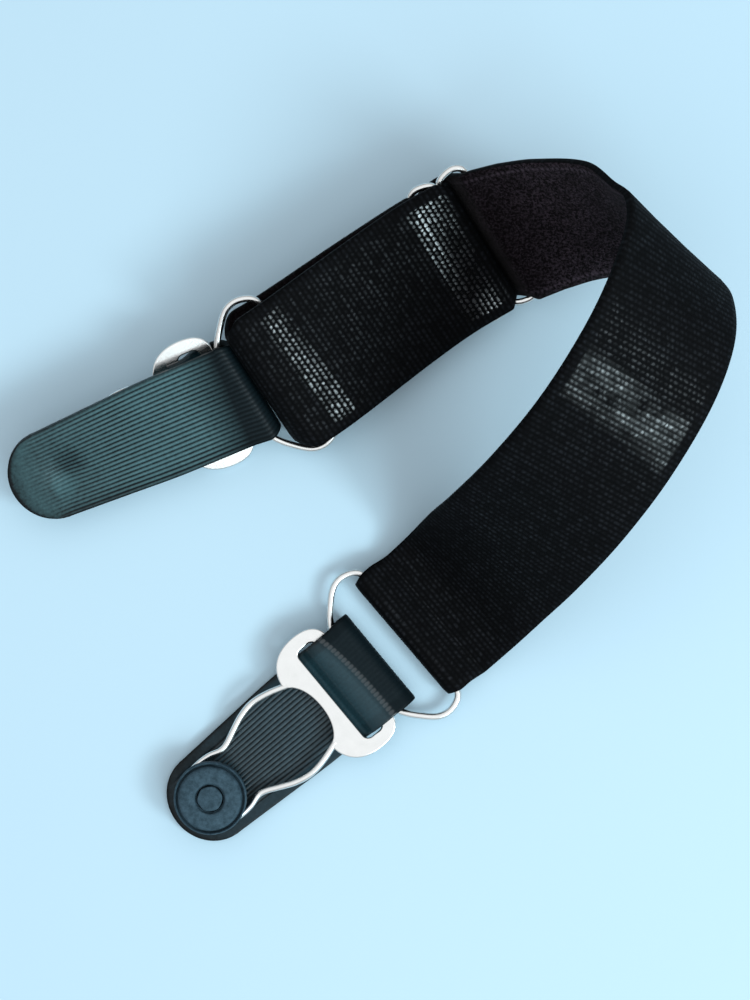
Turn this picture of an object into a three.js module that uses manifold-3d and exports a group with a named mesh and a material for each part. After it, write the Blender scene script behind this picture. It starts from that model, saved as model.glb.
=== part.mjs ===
// A sock suspender lying on a table: an elastic strap with a wire slider, and a ring and a rubber grip
// clip at each end. Millimetres, +Z up, the table at z = 0.

import * as THREE from 'three';
import { mergeVertices } from 'three/addons/utils/BufferGeometryUtils.js';
import Module from 'manifold-3d';

const wasm = await Module();
wasm.setup();

// Driving dimensions.
const GAP = 0.3;              // between pieces that touch on the real thing
const BAND_WIDTH = 30.2;      // elastic strap
const BAND_THICK = 1.3;
const WIRE = 0.7;             // radius of the rings' and the slider's wire
const SLIDER_PITCH = 6.1;     // from the slider's middle bar to each outer bar
const SLIDER_ROOM = 14.5;     // from the slider's middle to the band's edge where it passes between the ends
const SLIDER_REACH = 8;       // how far from the middle bar that is felt
const SEWN_PINCH = 0.9;       // how much less room the sewn end has round the middle bar
const LOOP_RADIUS = 3.85;     // the strap's loose loop round the upper ring, to mid thickness
const LOOP_AT = 46.2;         // how far that loop's centre lies from the slider's middle bar
const LOOP_PINCH = 2.8;       // how much narrower half the band is at the loop's end
const HEM_PINCH = 0.9;        // the same at the hem's fold, between the ring's sides
const HEM_TAIL = 7.0;         // the hem's tail, from the ring's bar
const TAIL_SHIFT = 0.7;       // how far the tail's end lies to the lower right of the strap above it
const RING_HALF = 6.35;       // from a ring's centre to each of its two bars
const TAB_THICK = 1.7;        // rubber strip
const FLAP_THICK = 1.5;       // the same strip where it is folded over
const FOLD_RADIUS = 2.4;      // that fold, to mid thickness
const RING_IN_FOLD = 2.6;     // height of the ring's wire above the tab's back
const STEM_RADIUS = 4.5;      // button
const HEAD_RADIUS = 7.2;
const HEAD_TOP = 7.0;
const HEAD_UNDER = 3.8;
const PEG_RADIUS = 2.5;
const PLATE_THICK = 1.2;      // grip frame, and the height of its plate's middle
const PLATE_MID = 4.5;
const PLATE_HALF = 14.0;
const PLATE_TOP = 38.2;
const SLOT = { low: 31.0, high: 35.4, half: 11.1, round: 1.3 };
const GRIP_WIRE = 0.67;
const GRIP_LOW = 2.8;         // height of the grip's wire where it goes round the button's stem

// From the middle of the view to the middle of the whole thing.
const MIDDLE = { x: -2.7, y: -1.8 };

const DEG = Math.PI / 180;
const SIDES = 8;              // round a wire

// The strap's free run, from the hem at the lower ring to the slider's first bar: the middle of the band,
// the direction of its ribs towards the upper left edge, and how steeply they climb that way.
const FREE_RUN = [
  { x: 11.9, y: -22.8, z: 2.4, ribs: 131, bank: 0 },
  { x: 16.5, y: -18.4, z: 5.4, ribs: 132, bank: -1 },
  { x: 21.5, y: -13.0, z: 13.6, ribs: 139, bank: 3 },
  { x: 26.3, y: -8.0, z: 22.5, ribs: 146, bank: 8 },
  { x: 33.7, y: 0.5, z: 32.8, ribs: 151, bank: 15 },
  { x: 41.6, y: 11.2, z: 40.0, ribs: 153, bank: 21 },
  { x: 48.8, y: 23.6, z: 44.2, ribs: 155, bank: 25 },
  { x: 53.2, y: 34.0, z: 43.7, ribs: 156, bank: 30 },
  { x: 55.1, y: 43.0, z: 40.0, ribs: 151, bank: 37 },
  { x: 54.0, y: 47.4, z: 36.8, ribs: 146, bank: 41 },
  { x: 50.6, y: 49.4, z: 32.5, ribs: 139, bank: 45 },
  { x: 45.5, y: 52.7, z: 25.8, ribs: 130, bank: 42 },
  { x: 36.4, y: 53.3, z: 18.8, ribs: 126, bank: 36 },
  { x: 30.2, y: 52.5, z: 14.9, ribs: 124, bank: 31 },
];

// The middle plane of the doubled stretch, from the slider's right bar to the loop round the upper ring.
const DOUBLED = [
  { x: 23.7, y: 51.4, z: 10.9, ribs: 124.5, bank: 25.5 },
  { x: 18.7, y: 49.5, z: 9.8, ribs: 125, bank: 25 },
  { x: 13.1, y: 46.9, z: 9.0, ribs: 125, bank: 25 },
  { x: 3.4, y: 40.3, z: 8.7, ribs: 125.5, bank: 24 },
  { x: -14.1, y: 27.1, z: 10.0, ribs: 125, bank: 20 },
  { x: -22.6, y: 21.5, z: 10.15, ribs: 123.5, bank: 21 },
];

// Where the other pieces lie. heading is the direction in which a piece's own +Y points.
const LOWER_BAR = { x: 7.1, y: -26.1, heading: 40.5 };
const LOWER_CLIP = { x: -32.5, y: -58.8, z: 0, heading: 39.7, pitch: 0, bank: 0 };
const UPPER_CLIP = { x: -62.7, y: 4.8, z: 9.62, heading: 22.7, pitch: 1.5, bank: 202 };
// The rubber's fold: how far it lies from the button, its slant, and how much narrower half of its end is.
const LOWER_FOLD = { at: 40.6, skew: 0, pinch: 0 };
const UPPER_FOLD = { at: 40.1, skew: -7.5, pinch: 1.0 };
const LOWER_RING = { x: 2.3, y: -30.1, z: 2.6, heading: 39.3, pitch: 0, bank: 0 };
const UPPER_RING = { x: -20.5, y: 23.5, z: 8.65, heading: 29, pitch: 7.8, bank: 20 };

const vec = (x, y, z) => new THREE.Vector3(x, y, z);

// A smooth pass through rows: each column of the table is a spline over the distance along the rows.
function along(rows) {
  const at = [0];
  for (let i = 1; i < rows.length; i++) {
    const a = rows[i - 1], b = rows[i];
    at.push(at[i - 1] + Math.hypot(b.x - a.x, b.y - a.y, b.z - a.z));
  }
  const slope = (key, i) => {
    const a = Math.max(i - 1, 0), b = Math.min(i + 1, rows.length - 1);
    return (rows[b][key] - rows[a][key]) / (at[b] - at[a]);
  };
  const read = (s) => {
    let i = 0;
    while (i < rows.length - 2 && s > at[i + 1]) i++;
    const step = at[i + 1] - at[i], t = (s - at[i]) / step, u = 1 - t;
    const row = {};
    for (const key of Object.keys(rows[0])) {
      row[key] = t < 0 || t > 1
        ? rows[t < 0 ? i : i + 1][key] + slope(key, t < 0 ? i : i + 1) * (t < 0 ? t : t - 1) * step
        : rows[i][key] * u * u * (1 + 2 * t) + rows[i + 1][key] * t * t * (3 - 2 * t)
          + step * t * u * (slope(key, i) * u - slope(key, i + 1) * t);
    }
    return row;
  };
  return { read, length: at[at.length - 1] };
}

const middleOf = (row) => vec(row.x, row.y, row.z);

function acrossOf({ ribs, bank }) {
  const level = Math.cos(bank * DEG);
  return vec(level * Math.cos(ribs * DEG), level * Math.sin(ribs * DEG), Math.sin(bank * DEG));
}

// Points on an arc, in a plane of two numbers, from one angle to another.
function arc(cx, cy, radius, from, to, steps) {
  return Array.from({ length: steps + 1 }, (_, i) => {
    const a = (from + (to - from) * i / steps) * DEG;
    return [cx + radius * Math.cos(a), cy + radius * Math.sin(a)];
  });
}

// A closed skin over a row of like rings of points, with a flat cap on each end.
function skin(rings) {
  const n = rings[0].length, points = rings.flat(), faces = [];
  for (let i = 0; i < rings.length - 1; i++) {
    for (let k = 0; k < n; k++) {
      const a = i * n + k, b = i * n + (k + 1) % n;
      faces.push(a, b, b + n, a, b + n, a + n);
    }
  }
  const last = (rings.length - 1) * n;
  for (let k = 1; k < n - 1; k++) faces.push(0, k + 1, k, last, last + k, last + k + 1);
  const geometry = new THREE.BufferGeometry().setFromPoints(points);
  geometry.setIndex(faces);
  return geometry;
}

// A band: stations give its middle, the direction across it, its half width and its thickness.
function band(stations) {
  const rings = stations.map((station, i) => {
    const before = stations[Math.max(i - 1, 0)].middle;
    const after = stations[Math.min(i + 1, stations.length - 1)].middle;
    const up = vec(0, 0, 0).crossVectors(after.clone().sub(before), station.across).normalize();
    const corner = (side, level) => station.middle.clone()
      .addScaledVector(station.across, side * station.half)
      .addScaledVector(up, level * station.thick / 2);
    return [corner(1, 1), corner(0, 1), corner(-1, 1), corner(-1, -1), corner(0, -1), corner(1, -1)];
  });
  return skin(rings);
}

// A round wire; an open one gets a flat face on each end.
function wireAlong(curve, radius, steps, closed) {
  if (closed) return new THREE.TubeGeometry(curve, steps, radius, SIDES, true);
  const section = new THREE.Shape().absarc(0, 0, radius, 0, 2 * Math.PI);
  return new THREE.ExtrudeGeometry(section, {
    steps, curveSegments: SIDES / 2, extrudePath: curve, bevelEnabled: false });
}

function toSolid(geometry) {
  const bare = geometry.clone();
  bare.deleteAttribute('uv');
  bare.deleteAttribute('normal');
  const merged = mergeVertices(bare, 1e-4);
  return new wasm.Manifold(new wasm.Mesh({
    numProp: 3,
    vertProperties: new Float32Array(merged.attributes.position.array),
    triVerts: new Uint32Array(merged.index.array),
  }));
}

function toGeometry(solid) {
  const { vertProperties, triVerts } = solid.getMesh();
  const geometry = new THREE.BufferGeometry();
  geometry.setAttribute('position', new THREE.BufferAttribute(vertProperties, 3));
  geometry.setIndex(new THREE.BufferAttribute(triVerts, 1));
  return geometry;
}

const join = (...geometries) => toGeometry(geometries.map(toSolid).reduce((a, b) => a.add(b)));

function named(name, geometry, material) {
  geometry.computeVertexNormals();
  const mesh = new THREE.Mesh(geometry, material);
  mesh.name = name;
  return mesh;
}

// The elastic strap.

const doubled = along(DOUBLED);
const MIDDLE_BAR = doubled.length - LOOP_AT - LOOP_RADIUS - BAND_THICK / 2;

// A place in the doubled stretch: reach runs to the right from the slider's middle bar, rise is normal to
// the band's plane.
function inDoubled(reach, rise) {
  const s = MIDDLE_BAR - reach;
  const row = doubled.read(s);
  const across = acrossOf(row);
  const right = middleOf(doubled.read(s - 0.5)).sub(middleOf(doubled.read(s + 0.5)));
  const up = vec(0, 0, 0).crossVectors(right, across).normalize();
  return { middle: middleOf(row).addScaledVector(up, rise), across };
}

// The strap's way through the slider, left to the loop round the upper ring, and back to the middle bar.
function weave() {
  const over = WIRE + GAP + BAND_THICK / 2;            // one layer on a bar
  const twice = over + BAND_THICK + GAP;               // a second layer on the first
  const dive = Math.asin((over + twice) / SLIDER_PITCH) / DEG;
  const ease = Math.asin((twice - over) / SLIDER_PITCH) / DEG;
  const path = [
    ...arc(SLIDER_PITCH, 0, over, 75, 90 + dive, 3),
    ...arc(0, 0, twice, dive - 90, -90 - dive, 5),
    ...arc(-SLIDER_PITCH, 0, over, 90 - dive, 90, 3),
  ];
  // Past the left bar the two layers open slowly towards the loop, and the second comes back over the first.
  const parts = [0.15, 0.3, 0.45, 0.6, 0.75, 0.9];
  const opening = (part, from, to) => [
    -SLIDER_PITCH - part * (LOOP_AT - SLIDER_PITCH), from + part ** 1.5 * (to - from)];
  path.push(...parts.map((part) => opening(part, over, -LOOP_RADIUS)));
  const loop = arc(-LOOP_AT, 0, LOOP_RADIUS, -90, -270, 8);
  const back = parts.map((part) => opening(part, twice, LOOP_RADIUS)).reverse();
  back.push(...arc(-SLIDER_PITCH, 0, twice, 90, 90 - ease, 1));
  const sewn = arc(0, 0, over, 90 - ease, -100, 7);
  const centre = inDoubled(0, 0), side = centre.across.clone().normalize();
  // The band is squeezed only where it lies between the slider's ends, not on top of them or far off.
  const roomFor = (reach, rise) => {
    const between = Math.min(Math.max((over + 0.2 - rise) / 0.4, 0), 1);
    return SLIDER_ROOM + 3 * (1 - Math.exp(-((reach / SLIDER_REACH) ** 8)) * between);
  };
  const station = ([reach, rise], pinch = 0, less = 0) => {
    const { middle, across } = inDoubled(reach, rise), room = roomFor(reach, rise) - pinch;
    const off = middle.clone().sub(centre.middle).dot(side) * (Math.abs(reach) < 2 * SLIDER_REACH);
    const upper = Math.min(BAND_WIDTH / 2 + off, room), lower = Math.min(BAND_WIDTH / 2 - off, room);
    middle.addScaledVector(across, (upper - lower) / 2 - off);
    return { middle, across, half: (upper + lower) / 2 - less };
  };
  return [
    ...path.map((point) => station(point)),
    ...loop.map((point, i) => station(point, 0, LOOP_PINCH * Math.sin(Math.PI * i / 8) ** 2)),
    ...back.map((point) => station(point)),
    ...sewn.map((point, i) => station(point, SEWN_PINCH * Math.min(i / 2, 1))),
  ];
}

// The hem: the tail under the strap, folded round the lower ring's bar, then down towards the free run.
function hem() {
  const radius = RING_IN_FOLD - BAND_THICK / 2;
  const heading = LOWER_BAR.heading * DEG;
  const across = vec(-Math.sin(heading), Math.cos(heading), 0);
  const path = [[HEM_TAIL, BAND_THICK / 2], [HEM_TAIL / 2, BAND_THICK / 2],
    ...arc(0, RING_IN_FOLD, radius, 270, 90, 8), [2.4, RING_IN_FOLD + radius - 0.8]];
  return path.map(([reach, z]) => ({
    middle: vec(LOWER_BAR.x + reach * Math.cos(heading), LOWER_BAR.y + reach * Math.sin(heading), z)
      .addScaledVector(across, z < RING_IN_FOLD ? -TAIL_SHIFT * Math.max(0, reach) / HEM_TAIL : 0),
    across, half: BAND_WIDTH / 2 - HEM_PINCH * Math.max(0, -reach) / radius }));
}

function elasticStrap() {
  const run = along(FREE_RUN), steps = 34, free = [];
  for (let i = 0; i <= steps; i++) {
    const row = run.read(run.length * i / steps);
    free.push({ middle: middleOf(row), across: acrossOf(row), half: BAND_WIDTH / 2 });
  }
  return band([...hem(), ...free, ...weave()].map((station) => ({ ...station, thick: BAND_THICK })));
}

// The slider and the rings.

// The outline of one end of the slider: a round corner, a hump, and the valley where the middle bar ends.
const SLIDER_END = [[SLIDER_PITCH, 13.2], [5.7, 14.8], [4.4, 15.6], [2.6, 15.5], [1.0, 14.8], [0, 13.5]];

function sliderWire() {
  const quarter = [[SLIDER_PITCH, 0], [SLIDER_PITCH, 6], ...SLIDER_END];
  const half = [...quarter, ...quarter.slice(0, -1).reverse().map(([x, y]) => [-x, y])];
  const whole = [...half, ...half.slice(1, -1).reverse().map(([x, y]) => [x, -y])];
  const outline = new THREE.CatmullRomCurve3(whole.map(([x, y]) => vec(x, y, 0)), true, 'centripetal');
  const reach = SLIDER_END[SLIDER_END.length - 1][1];
  const bar = wireAlong(new THREE.LineCurve3(vec(0, -reach, 0), vec(0, reach, 0)), WIRE, 1, false);
  return join(wireAlong(outline, WIRE, 72, true), bar);
}

// A ring's outline, with its wide bar at +Y in the strap and its narrow bar at -Y in the rubber.
function ringWire() {
  const right = [[13.2, RING_HALF], [15.8, 5.4], [17.05, 2.6], [16.6, 0], [14.1, -2.9], [11.4, -5.1],
    [8.6, -RING_HALF]];
  const left = right.map(([x, y]) => [-x, y]).reverse();
  const points = [[0, RING_HALF], ...right, [0, -RING_HALF], ...left];
  const outline = new THREE.CatmullRomCurve3(points.map(([x, y]) => vec(x, y, 0)), true, 'centripetal');
  return wireAlong(outline, WIRE, 64, true);
}

// Turns a piece about its own X and Y, points its +Y along the heading, and sets it down.
function place(object, { x, y, z, heading, pitch, bank }) {
  object.rotation.order = 'ZXY';
  object.rotation.set(pitch * DEG, bank * DEG, (heading - 90) * DEG);
  object.position.set(x, y, z);
  return object;
}

// A grip clip in its own frame: the button on the Z axis, the ring towards +Y, the tab's back at z = 0.

// The strip's half width along its length; it is rounded off below the button.
const TAB_WIDTHS = [
  { y: 0, half: 9.15 }, { y: 12.6, half: 9.8 }, { y: 22.6, half: 10.3 }, { y: 36, half: 10.4 },
];
const TAB_END = { y: -8.8, middle: -0.4, half: 9.15 };
const FOLD_HALF = 10.8;
const FLAP_HALF = 10.6;

// The flap's way from the top of the fold over the frame's top bar, down through the slot to its tail.
const FLAP_SQUARE = 35.7;     // where the slant of the fold has gone out of the flap
const FLAP_PATH = [[38.9, 6.35], [37.2, 6.4], [35.6, 6.3], [34.2, 5.6], [33.2, 4.25], [32.4, 3.3],
  [31.2, 2.85], [30, 2.8], [28.8, 2.8]];

function tabSolid({ at, skew, pinch }) {
  const slant = (part) => vec(Math.cos(part * skew * DEG), Math.sin(part * skew * DEG), 0);
  const flat = { z: TAB_THICK / 2, thick: TAB_THICK, across: slant(0) }, stations = [];
  const depth = TAB_END.middle - TAB_END.y;
  for (const turn of [6, 20, 36, 52, 70]) {
    const y = TAB_END.middle - depth * Math.cos(turn * DEG);
    stations.push({ ...flat, y, half: TAB_END.half * Math.sin(turn * DEG) });
  }
  for (const { y, half } of TAB_WIDTHS) stations.push({ ...flat, y, half });
  for (const [y, z] of arc(at, FLAP_THICK / 2 + FOLD_RADIUS, FOLD_RADIUS, -90, 90, 8)) {
    const half = FOLD_HALF - pinch * ((y - at) / FOLD_RADIUS) ** 2;
    stations.push({ y, z, half, thick: FLAP_THICK, across: slant(1) });
  }
  for (const [y, z] of FLAP_PATH) {
    const part = Math.max(0, (y - FLAP_SQUARE) / (at - FLAP_SQUARE));
    stations.push({ y, z, half: FLAP_HALF, thick: FLAP_THICK, across: slant(part) });
  }
  const strip = band(stations.map(({ y, z, ...rest }) => ({ middle: vec(0, y, z), ...rest })));
  const foot = TAB_THICK / 2, top = HEAD_TOP - 0.1;
  const peg = new THREE.CylinderGeometry(PEG_RADIUS, PEG_RADIUS, top - foot, 20);
  peg.rotateX(Math.PI / 2).translate(0, 0, (foot + top) / 2);
  return join(strip, peg);
}

function buttonSolid() {
  const bore = PEG_RADIUS + GAP, foot = TAB_THICK + GAP, groove = HEAD_TOP - 0.4;
  const profile = [[bore, foot], [STEM_RADIUS, foot], [STEM_RADIUS, HEAD_UNDER], [6.7, HEAD_UNDER],
    [HEAD_RADIUS, 4.4], [HEAD_RADIUS, 6.1], [6.95, 6.75], [6.4, HEAD_TOP], [3.7, HEAD_TOP], [3.4, groove],
    [bore, groove], [bore, foot]];
  const lathe = new THREE.LatheGeometry(profile.map(([r, z]) => new THREE.Vector2(r, z)), 36);
  return toGeometry(toSolid(lathe.rotateX(Math.PI / 2)));
}

// The grip's wire: its way from one lobe of the plate down to the button's stem; the other half mirrors it.
const GRIP_WAY = [[7.3, 25.9, PLATE_MID], [8.5, 22.2, 4.3], [9.1, 18.2, 3.9], [8.5, 14.8, 3.55],
  [7.2, 11.6, 3.2], [6.0, 8.8, 2.95], [5.8, 7.2, 2.85], [6.4, 5.0, GRIP_LOW], [6.6, 2.6, GRIP_LOW],
  [6.3, -0.4, GRIP_LOW], [5.2, -3.4, GRIP_LOW], [2.9, -5.4, GRIP_LOW]];

function frameSolid() {
  const plate = new THREE.Shape();
  plate.moveTo(-9.6, PLATE_TOP);
  plate.lineTo(9.6, PLATE_TOP);
  plate.bezierCurveTo(12.6, PLATE_TOP, PLATE_HALF, 36.2, PLATE_HALF, 32.6);
  plate.bezierCurveTo(PLATE_HALF, 28.6, 12.2, 25.6, 8.2, 24.9);
  plate.quadraticCurveTo(7.2, 24.8, 6.4, 26.2);
  plate.quadraticCurveTo(4.2, 28.3, 0, 28.3);
  plate.quadraticCurveTo(-4.2, 28.3, -6.4, 26.2);
  plate.quadraticCurveTo(-7.2, 24.8, -8.2, 24.9);
  plate.bezierCurveTo(-12.2, 25.6, -PLATE_HALF, 28.6, -PLATE_HALF, 32.6);
  plate.bezierCurveTo(-PLATE_HALF, 36.2, -12.6, PLATE_TOP, -9.6, PLATE_TOP);
  const slot = new THREE.Path(), { low, high, half, round } = SLOT;
  slot.absarc(half - round, high - round, round, 0, Math.PI / 2);
  slot.absarc(-half + round, high - round, round, Math.PI / 2, Math.PI);
  slot.absarc(-half + round, low + round, round, Math.PI, 1.5 * Math.PI);
  slot.absarc(half - round, low + round, round, 1.5 * Math.PI, 2 * Math.PI);
  plate.holes.push(slot);
  const sheet = new THREE.ExtrudeGeometry(
    plate, { depth: PLATE_THICK, curveSegments: 6, bevelEnabled: false });
  sheet.translate(0, 0, PLATE_MID - PLATE_THICK / 2);
  const way = [...GRIP_WAY, [0, -6.1, GRIP_LOW], ...GRIP_WAY.map(([x, y, z]) => [-x, y, z]).reverse()];
  const loop = new THREE.CatmullRomCurve3(way.map((p) => vec(...p)), false, 'centripetal');
  return join(sheet, wireAlong(loop, GRIP_WIRE, 72, false));
}

function clip(side, placement, fold) {
  const group = new THREE.Group();
  group.add(named(`${side}_tab`, tabSolid(fold), rubber), named(`${side}_button`, buttonSolid(), hardRubber),
    named(`${side}_frame`, frameSolid(), nickel));
  return place(group, placement);
}

// The whole.

const elastic = new THREE.MeshStandardMaterial({ color: 0x141316, roughness: 0.85, metalness: 0 });
const rubber = new THREE.MeshStandardMaterial({ color: 0x23282f, roughness: 0.55, metalness: 0 });
const hardRubber = new THREE.MeshStandardMaterial({ color: 0x20252c, roughness: 0.7, metalness: 0 });
const nickel = new THREE.MeshStandardMaterial({ color: 0xd8d6d2, roughness: 0.18, metalness: 1 });

function sliderMesh() {
  const mesh = named('slider', sliderWire(), nickel);
  const here = inDoubled(0, 0), across = here.across.clone().normalize();
  const right = inDoubled(1, 0).middle.sub(inDoubled(-1, 0).middle);
  const up = vec(0, 0, 0).crossVectors(right, across).normalize();
  const basis = new THREE.Matrix4().makeBasis(vec(0, 0, 0).crossVectors(across, up), across, up);
  mesh.quaternion.setFromRotationMatrix(basis);
  mesh.position.copy(here.middle);
  return mesh;
}

const suspender = new THREE.Group();
suspender.add(
  named('elastic_strap', elasticStrap(), elastic),
  sliderMesh(),
  place(named('upper_ring', ringWire(), nickel), UPPER_RING),
  place(named('lower_ring', ringWire(), nickel), LOWER_RING),
  clip('upper', UPPER_CLIP, UPPER_FOLD),
  clip('lower', LOWER_CLIP, LOWER_FOLD),
);
suspender.position.set(-MIDDLE.x, -MIDDLE.y, 0);

export default suspender;
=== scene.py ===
# %% [markdown]
# # A sock suspender
# A sock suspender is an elastic strap worn round the calf, with a clip at each end that holds up a sock.
# This one lies loose on a table. Its strap goes through a wire slider, which sets the length, and a wire
# ring at each end carries a rubber clip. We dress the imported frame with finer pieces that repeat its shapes.

import math

import bpy
from mathutils import Matrix, Vector


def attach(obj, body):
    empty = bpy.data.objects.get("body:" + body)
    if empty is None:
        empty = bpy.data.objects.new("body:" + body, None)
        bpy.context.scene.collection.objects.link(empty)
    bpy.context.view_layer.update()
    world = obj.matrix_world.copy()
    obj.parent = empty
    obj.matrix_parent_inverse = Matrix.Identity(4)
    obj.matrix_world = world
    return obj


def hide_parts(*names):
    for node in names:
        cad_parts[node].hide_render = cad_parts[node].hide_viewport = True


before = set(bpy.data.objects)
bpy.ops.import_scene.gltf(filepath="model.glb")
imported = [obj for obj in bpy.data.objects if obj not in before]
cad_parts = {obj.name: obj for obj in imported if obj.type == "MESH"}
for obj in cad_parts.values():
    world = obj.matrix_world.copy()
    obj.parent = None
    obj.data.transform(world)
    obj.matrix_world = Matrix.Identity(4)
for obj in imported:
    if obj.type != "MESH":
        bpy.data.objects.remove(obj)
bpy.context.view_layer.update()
print("nodes:", ", ".join(sorted(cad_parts)))

# %% [markdown]
# ## Places
# All tables are in millimetres, seen from above, with the table top at z = 0. The suspender's middle is a
# little off the middle of the view, so one matrix turns a table's point into the frame's metres. Each hard
# piece is drawn flat in a frame of its own, then tipped, rolled and turned to where it lies.

# %% Places in metres
MM = 0.001
MIDDLE = Vector((-2.7, -1.8, 0.0))
VIEW = Matrix.Scale(MM, 4) @ Matrix.Translation(-MIDDLE)


def placed(x, y, z, heading, pitch, bank):
    """A piece's own frame: its +Y points along the heading; it is first rolled, then tipped."""
    turn = Matrix.Rotation(math.radians(heading - 90), 4, "Z")
    tip = Matrix.Rotation(math.radians(pitch), 4, "X")
    roll = Matrix.Rotation(math.radians(bank), 4, "Y")
    return VIEW @ Matrix.Translation((x, y, z)) @ turn @ tip @ roll


LOWER_CLIP = placed(-32.5, -58.8, 0, 39.7, 0, 0)
UPPER_CLIP = placed(-62.7, 4.8, 9.62, 22.7, 1.5, 202)
LOWER_RING = placed(2.3, -30.1, 2.6, 39.3, 0, 0)
UPPER_RING = placed(-20.5, 23.5, 8.65, 29, 7.8, 20)


# %% Small helpers for modelling by hand
def alone(thing):
    """Select one object and make it the active one."""
    bpy.ops.object.select_all(action="DESELECT")
    thing.select_set(True)
    bpy.context.view_layer.objects.active = thing


def start(name):
    """The primitive that was just added gets its name and is the only thing selected."""
    thing = bpy.context.object
    thing.name = thing.data.name = name
    alone(thing)
    return thing


def modifier(thing, kind, **settings):
    """Add a modifier and apply it at once."""
    alone(thing)
    made = thing.modifiers.new(kind.title(), kind)
    for key, value in settings.items():
        setattr(made, key, value)
    bpy.ops.object.modifier_apply(modifier=made.name)


def smooth(thing, angle):
    """Shade smooth, but keep edges that turn by more than this many degrees."""
    alone(thing)
    bpy.ops.object.shade_smooth_by_angle(angle=math.radians(angle))


# %% Helpers that finish a piece
def dress(thing, slot, *materials):
    """Give a piece its materials and let it ride on the body."""
    for material in materials:
        thing.data.materials.append(material)
    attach(thing, "root")
    print(thing.name, len(thing.data.polygons), "faces")


def finish_piece(thing, node, slot, *materials):
    """Dress a piece and let it stand for its node."""
    dress(thing, slot, *materials)
    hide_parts(node)


# %% [markdown]
# ## Shader maths
# Patterns such as ribs are sums and products of waves. They could be drawn as node groups, but they read
# more easily as Python expressions, so a small class wraps a socket: each operation adds one Math node.

# %% Sockets as numbers
def feed(tree, socket, value):
    """Link a term to a socket, or set the socket to a plain value."""
    if isinstance(value, Term):
        tree.links.new(value.socket, socket)
    else:
        socket.default_value = value


class Term:
    """A socket's number, for use in expressions."""

    def __init__(self, tree, socket):
        self.tree, self.socket = tree, socket

    def maths(self, operation, *values):
        """One Math node on these values."""
        node = self.tree.nodes.new("ShaderNodeMath")
        node.operation = operation
        for socket, value in zip(node.inputs, values):
            feed(self.tree, socket, value)
        return Term(self.tree, node.outputs[0])

    def __add__(self, other):
        return self.maths("ADD", self, other)

    def __sub__(self, other):
        return self.maths("SUBTRACT", self, other)

    def __rsub__(self, other):
        return self.maths("SUBTRACT", other, self)

    def __mul__(self, other):
        return self.maths("MULTIPLY", self, other)

    def __truediv__(self, other):
        return self.maths("DIVIDE", self, other)

    def __pow__(self, other):
        return self.maths("POWER", self, other)

    __radd__, __rmul__ = __add__, __mul__

    def abs(self):
        return self.maths("ABSOLUTE", self)

    def floor(self):
        return self.maths("FLOOR", self)

    def modulo(self, other):
        return self.maths("MODULO", self, other)

    def at_least(self, other):
        return self.maths("MAXIMUM", self, other)

    def at_most(self, other):
        return self.maths("MINIMUM", self, other)

    def between(self, low, high):
        """0 below low, 1 above high and a straight line between."""
        return ((self - low) / (high - low)).at_least(0.0).at_most(1.0)

    def wave(self, crest=1.0):
        """A wave from 0 to 1 for each whole number, with its crest at it, or halfway for a crest of -1."""
        return self.maths("COSINE", self * (2 * math.pi)) * (0.5 * crest) + 0.5

    def lifted(self, least):
        """Numbers from 0 to 1, squeezed so that they run from least to 1."""
        return self * (1.0 - least) + least

    def peak(self, middle, half):
        """1 at the middle, falling to 0 at half away on each side."""
        return (1.0 - ((self - middle) / half).abs()).at_least(0.0)


# %% Materials in the making
NOISE_SPREAD = (0.3, 0.7)


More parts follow.
